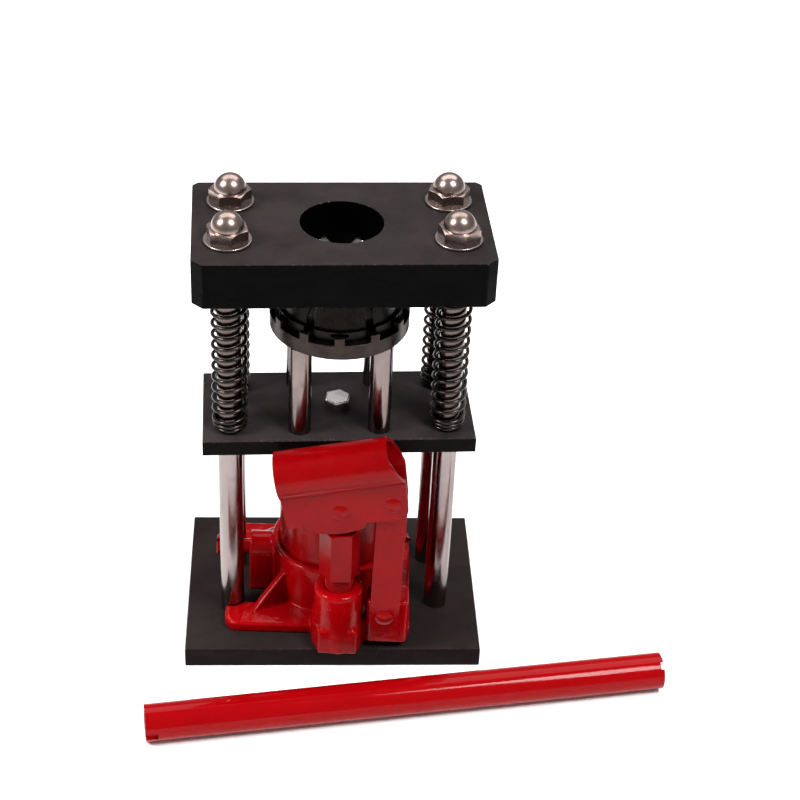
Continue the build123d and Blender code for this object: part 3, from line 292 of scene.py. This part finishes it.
def ground_bar(name, tint, rough, smear=0.45, shade_from=None):
    """Ground and plated round bar: fine lines round it, smears, and painted shade above a height in
    mm, where springs surround it.
    """
    s = Surface(name, Metallic=1.0)
    rings = s.noise(0.45, 2.0, 0.6, where=s.stretched(0.02, 0.02, 1.0))
    smudge = s.noise(9, 4.0, 0.65, 0.5, where=s.stretched(1.0, 1.0, 0.45))
    specks = s.span(s.noise(0.8, 3.0, 0.7), 0.60, 0.75, 0.0, 0.5)
    colour = s.mix(s.span(smudge, 0.40, 0.75, 0.0, smear), tint, tinted(tint, 0.55))
    colour = s.mix(specks, colour, tinted(tint, 0.6))
    if shade_from:
        # Darker above that height: painted shade on the columns inside the springs.
        height = s.add("ShaderNodeSeparateXYZ", {0: s.place}).outputs[2]
        spring_shade = s.span(height, (shade_from - SPRING_SHADE_FADE) * MM, (shade_from + SPRING_SHADE_FADE) * MM, 0.0, 0.85)
        colour = s.mix(spring_shade, colour, [c * t for c, t in zip(tint, (0.30, 0.26, 0.24))])
    s.bump(rings, 0.12, 0.02)
    s.bump(s.noise(2.5, 3.0, 0.6), 0.08, 0.05)
    return s.finish(Base_Color=colour, Roughness=s.span(smudge, 0.35, 0.75, *rough))


def turned_steel(name, light, dark, rough):
    """Bright stainless fastenings, tinted warm as painted warm light and painted reflection of the
    red paint, dull in their corners.
    """
    s = Surface(name, Metallic=1.0)
    cloud = s.noise(9, 3.0, 0.5)
    colour = s.mix(s.span(cloud, 0.36, 0.70), light, dark)
    grime = s.math("MULTIPLY", s.edges(0.5), s.span(s.noise(1.5, 3.0), 0.45, 0.6))
    colour = s.mix(s.math("MULTIPLY", grime, 0.25), colour, tinted(dark, 0.35))
    s.bump(s.noise(0.5, 2.0, 0.6, where=s.stretched(0.15, 0.15, 1.0)), 0.06, 0.02)
    s.bump(s.noise(2.5, 2.0, 0.5), 0.05, 0.04)
    return s.finish(Base_Color=colour, Roughness=s.span(cloud, 0.3, 0.7, *rough))


def dark_steel(name, dark, light, rough, lines, worn=(0.30, 0.25, 0.22)):
    """Blackened or oiled steel with grinding lines, bare and brighter along its edges."""
    s = Surface(name, Metallic=0.9)
    cloud = s.noise(6, 4.0, 0.6)
    marks = s.noise(0.8, 3.0, 0.65, where=s.stretched(*lines))
    colour = s.mix(s.span(cloud, 0.35, 0.7), dark, light)
    colour = s.mix(s.span(marks, 0.55, 0.8, 0.0, 0.45), colour, tinted(light, 1.9))
    rim = s.math("MULTIPLY", s.edges(0.4, 0.08, 0.30), s.span(cloud, 0.38, 0.60))
    colour = s.mix(s.math("MULTIPLY", rim, 0.7), colour, worn)
    s.bump(marks, 0.22, 0.05)
    return s.finish(Base_Color=colour, Roughness=s.span(cloud, 0.3, 0.7, *rough))


def rubber(name):
    s = Surface(name)
    fine = s.noise(0.7, 3.0, 0.6)
    colour = s.mix(s.span(s.noise(5, 3.0), 0.35, 0.7), (0.012, 0.012, 0.013), (0.028, 0.027, 0.026))
    s.bump(fine, 0.3, 0.05)
    return s.finish(Base_Color=colour, Roughness=s.span(fine, 0.3, 0.7, 0.48, 0.66))


def copper(name):
    s = Surface(name, Metallic=1.0)
    cloud = s.noise(3, 4.0, 0.6)
    colour = s.mix(s.span(cloud, 0.35, 0.7), (0.70, 0.37, 0.22), (0.40, 0.20, 0.12))
    s.bump(s.noise(0.8, 3.0, 0.6), 0.2, 0.04)
    return s.finish(Base_Color=colour, Roughness=s.span(cloud, 0.3, 0.7, 0.25, 0.4))


def pale_floor(name):
    s = Surface(name, Specular_IOR_Level=0.2)
    colour = s.mix(s.span(s.noise(180, 2.0), 0.3, 0.7), (0.95, 0.95, 0.95), (0.94, 0.94, 0.94))
    return s.finish(Base_Color=colour, Roughness=0.7)


def tinted(colour, amount):
    """A colour made lighter or darker."""
    return [channel * amount for channel in colour]


RED = (0.25, 0.0006, 0.0018)
MATERIALS = {
    # The three black plates differ mostly in their side tones, which are painted shade: darkest on
    # the top plate, lightest on the base.
    "black_plate": black_plate(
        "black_plate",
        top_light=(0.0225, 0.0175, 0.0178),
        top_dark=(0.0135, 0.0102, 0.0104),
        side_shade_light=(0.0010, 0.0009, 0.0007),
        side_shade_dark=(0.0002, 0.0002, 0.0002),
    ),
    "moving_black": black_plate(
        "moving_black",
        top_light=(0.030, 0.0235, 0.0245),
        top_dark=(0.0145, 0.0118, 0.0124),
        side_shade_light=(0.0052, 0.0034, 0.0032),
        side_shade_dark=(0.0026, 0.0017, 0.0016),
    ),
    "base_black": black_plate(
        "base_black",
        top_light=(0.0200, 0.0140, 0.0138),
        top_dark=(0.0125, 0.0088, 0.0088),
        side_shade_light=(0.0125, 0.0080, 0.0080),
        side_shade_dark=(0.0080, 0.0052, 0.0052),
    ),
    # The warm pink tints of the column chrome, posts, stainless and washers are painted warm light
    # and painted reflection of the red paint.
    "column_chrome": ground_bar(
        "column_chrome", (0.265, 0.22, 0.213), rough=(0.13, 0.30), shade_from=SPRING_SHADE_FROM
    ),
    "post_steel": ground_bar("post_steel", (0.20, 0.160, 0.152), rough=(0.14, 0.28), smear=0.6),
    "ground_steel": ground_bar("ground_steel", (0.55, 0.54, 0.53), rough=(0.12, 0.24)),
    "stainless": turned_steel(
        "stainless", (0.40, 0.31, 0.285), (0.24, 0.175, 0.155), rough=(0.20, 0.30)
    ),
    "bolt_steel": turned_steel(
        "bolt_steel", (0.80, 0.77, 0.77), (0.55, 0.52, 0.52), rough=(0.14, 0.28)
    ),
    "washer_steel": turned_steel(
        "washer_steel", (0.36, 0.31, 0.295), (0.23, 0.19, 0.175), rough=(0.20, 0.34)
    ),
    "spring_steel": dark_steel(
        "spring_steel",
        (0.022, 0.019, 0.018),
        (0.045, 0.038, 0.036),
        rough=(0.18, 0.30),
        lines=(1, 1, 1),
    ),
    "ring_steel": dark_steel(
        "ring_steel",
        (0.018, 0.0125, 0.0105),
        (0.034, 0.024, 0.020),
        rough=(0.26, 0.40),
        lines=(0.1, 0.1, 1.0),
    ),
    "die_steel": dark_steel(
        "die_steel",
        (0.004, 0.0032, 0.0026),
        (0.011, 0.0088, 0.0072),
        rough=(0.24, 0.42),
        lines=(1, 1, 0.05),
        worn=(0.10, 0.08, 0.07),
    ),
    "red_paint": red_enamel(
        "red_paint", tinted(RED, 0.86), peel=0.07, lumps=0.50, gloss=(0.14, 0.26), mottle=0.7
    ),
    "cast_paint": red_enamel(
        "cast_paint", tinted(RED, 1.12), peel=0.16, lumps=0.85, gloss=(0.05, 0.13), mottle=1.0
    ),
    "handle_paint": red_enamel(
        "handle_paint", tinted(RED, 1.05), peel=0.02, lumps=0.04, gloss=(0.06, 0.12), mottle=0.3
    ),
    "seal_rubber": rubber("seal_rubber"),
    "gasket_copper": copper("gasket_copper"),
}


def finish_of(node):
    return FINISH_OF.get(node, SLOT_OF[node])


# ---------------------------------------------------------------- mesh helpers
def put(node, mesh):
    """Shows a mesh in place of a CAD node, in the node's finish and on its body."""
    piece = bpy.data.objects.new(node + "_look", mesh)
    bpy.context.scene.collection.objects.link(piece)
    mesh.materials.clear()
    mesh.materials.append(MATERIALS[finish_of(node)])
    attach(piece, BODY_OF[node])
    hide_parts(node)
    return piece


def clean_copy(node):
    """A CAD node's mesh with its vertices joined and its flat faces whole."""
    mesh = NODES[node].data.copy()
    work = bmesh.new()
    work.from_mesh(mesh)
    bmesh.ops.remove_doubles(work, verts=work.verts, dist=WELD)
    bmesh.ops.dissolve_limit(
        work, angle_limit=radians(FLAT_ANGLE), verts=work.verts, edges=work.edges, delimit=set()
    )
    work.to_mesh(mesh)
    work.free()
    return mesh


def smooth(mesh, angle=EDGE_ANGLE):
    mesh.polygons.foreach_set("use_smooth", [True] * len(mesh.polygons))
    mesh.set_sharp_from_angle(angle=radians(angle))


def baked(piece):
    """Applies a piece's modifiers, so that its own mesh is what shows."""
    graph = bpy.context.evaluated_depsgraph_get()
    mesh = bpy.data.meshes.new_from_object(piece.evaluated_get(graph))
    piece.modifiers.clear()
    piece.data = mesh


def rounded(node, width):
    """A CAD node's shape with its edges rounded by width millimetres."""
    mesh = clean_copy(node)
    piece = put(node, mesh)
    bevel = piece.modifiers.new("round", "BEVEL")
    bevel.width = width * MM
    bevel.segments = BEVEL_SEGMENTS
    bevel.limit_method = "ANGLE"
    bevel.angle_limit = radians(EDGE_ANGLE)
    bevel.miter_outer = "MITER_ARC"
    bevel.use_clamp_overlap = True
    baked(piece)
    smooth(piece.data)
    weigh = piece.modifiers.new("normals", "WEIGHTED_NORMAL")
    weigh.keep_sharp = True
    baked(piece)


def remeshed(node, voxel, passes):
    """A CAD node's shape melted a little, as thick paint or a sand casting is."""
    mesh = NODES[node].data.copy()
    piece = put(node, mesh)
    remesh = piece.modifiers.new("even", "REMESH")
    remesh.mode = "VOXEL"
    remesh.voxel_size = voxel
    melt = piece.modifiers.new("melt", "SMOOTH")
    melt.factor = 0.5
    melt.iterations = passes
    baked(piece)
    piece.data.polygons.foreach_set("use_smooth", [True] * len(piece.data.polygons))


# ---------------------------------------------------------------- pieces
def paint_cad_nodes():
    """Gives every CAD node that still shows its own finish."""
    for node, cad in NODES.items():
        cad.data.materials.clear()
        cad.data.materials.append(MATERIALS[finish_of(node)])
        smooth(cad.data)


def spring_height(turn, low, high):
    """Height of the wire's middle after a number of turns: closed at both ends, even between."""
    free_low = low + CLOSED_BELOW * CLOSED_PITCH
    free_high = high - CLOSED_ABOVE * CLOSED_PITCH
    if turn < CLOSED_BELOW:
        return low + turn * CLOSED_PITCH
    if turn > SPRING_TURNS - CLOSED_ABOVE:
        return high - (SPRING_TURNS - turn) * CLOSED_PITCH
    share = (turn - CLOSED_BELOW) / (SPRING_TURNS - CLOSED_BELOW - CLOSED_ABOVE)
    return free_low + share * (free_high - free_low)


def make_spring(place, start_angle):
    """A return spring: round wire, its lowest turns closed and drawn in a little."""
    node = f"return_spring_{place}"
    low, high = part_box(node)
    centre = (low + high) / 2
    coil_radius = (high.x - low.x) / 2 - WIRE
    steps = int(SPRING_TURNS * STEPS_PER_TURN)
    work = bmesh.new()
    previous = None
    for step in range(steps + 1):
        turn = SPRING_TURNS * step / steps
        angle = start_angle + 2 * pi * turn
        out = Vector((cos(angle), sin(angle), 0))
        radius = coil_radius - SPRING_PINCH * max(0.0, 1 - turn / CLOSED_BELOW)
        middle = Vector((centre.x, centre.y, spring_height(turn, low.z + WIRE, high.z - WIRE)))
        middle += out * radius
        loop = []
        for side in range(AROUND_WIRE):
            lean = 2 * pi * side / AROUND_WIRE
            across = out * cos(lean) + Vector((0, 0, sin(lean)))
            loop.append(work.verts.new(middle + across * WIRE))
        if previous:
            for side in range(AROUND_WIRE):
                after = (side + 1) % AROUND_WIRE
                work.faces.new((previous[side], previous[after], loop[after], loop[side]))
        else:
            work.faces.new(loop[::-1])
        previous = loop
    work.faces.new(previous)
    bmesh.ops.recalc_face_normals(work, faces=work.faces)
    mesh = bpy.data.meshes.new(node + "_look")
    work.to_mesh(mesh)
    work.free()
    smooth(mesh, SPRING_SMOOTH_ANGLE)
    piece = put(node, mesh)
    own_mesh(piece)


paint_cad_nodes()
for node, width in ROUNDED.items():
    rounded(node, width)
for index, place in enumerate(PLACES):
    make_spring(place, radians(SPRING_FIRST_ANGLE + SPRING_ANGLE_STEP * index))
remeshed("jack_base", CAST_VOXEL, CAST_PASSES)


# ---------------------------------------------------------------- stage
def flat_floor():
    work = bmesh.new()
    bmesh.ops.create_grid(work, x_segments=2, y_segments=2, size=FLOOR_HALF)
    mesh = bpy.data.meshes.new("floor")
    work.to_mesh(mesh)
    work.free()
    floor = bpy.data.objects.new("floor", mesh)
    floor.location.z = -FLOOR_DROP
    bpy.context.scene.collection.objects.link(floor)
    mesh.materials.append(pale_floor("pale_floor"))


def softbox(name, place, width, height, power):
    lamp = bpy.data.lights.new(name, "AREA")
    lamp.shape = "RECTANGLE"
    lamp.size = width
    lamp.size_y = height
    lamp.energy = power
    box = bpy.data.objects.new(name, lamp)
    box.location = place
    box.rotation_mode = "QUATERNION"
    box.rotation_quaternion = (Vector(LIGHT_AIM) - Vector(place)).to_track_quat("-Z", "Y")
    bpy.context.scene.collection.objects.link(box)


def studio():
    world = bpy.data.worlds.new("studio")
    bpy.context.scene.world = world
    world.use_nodes = True
    background = world.node_tree.nodes["Background"]
    background.inputs["Color"].default_value = (1.0, 1.0, 1.0, 1.0)
    background.inputs["Strength"].default_value = WORLD_STRENGTH
    for name, (place, width, height, power) in SOFTBOXES.items():
        softbox(name, place, width, height, power)


def camera():
    yaw, pitch, roll = radians(CAMERA_YAW), radians(CAMERA_PITCH), radians(CAMERA_ROLL)
    forward = Vector((sin(yaw) * cos(pitch), cos(yaw) * cos(pitch), -sin(pitch)))
    right = Vector((cos(yaw), -sin(yaw), 0))
    up = right.cross(forward)
    level_right = right * cos(roll) + up * sin(roll)
    level_up = up * cos(roll) - right * sin(roll)
    data = bpy.data.cameras.new("camera")
    data.sensor_width = CAMERA_SENSOR
    data.lens = CAMERA_LENS
    data.shift_x, data.shift_y = CAMERA_SHIFT
    data.clip_start = 0.01
    view = bpy.data.objects.new("camera", data)
    turn = Matrix((level_right, level_up, -forward)).transposed().to_4x4()
    view.matrix_world = Matrix.Translation(CAMERA_PLACE) @ turn
    bpy.context.scene.collection.objects.link(view)
    bpy.context.scene.camera = view


flat_floor()
studio()
camera()
bpy.context.scene.view_settings.view_transform = "Standard"
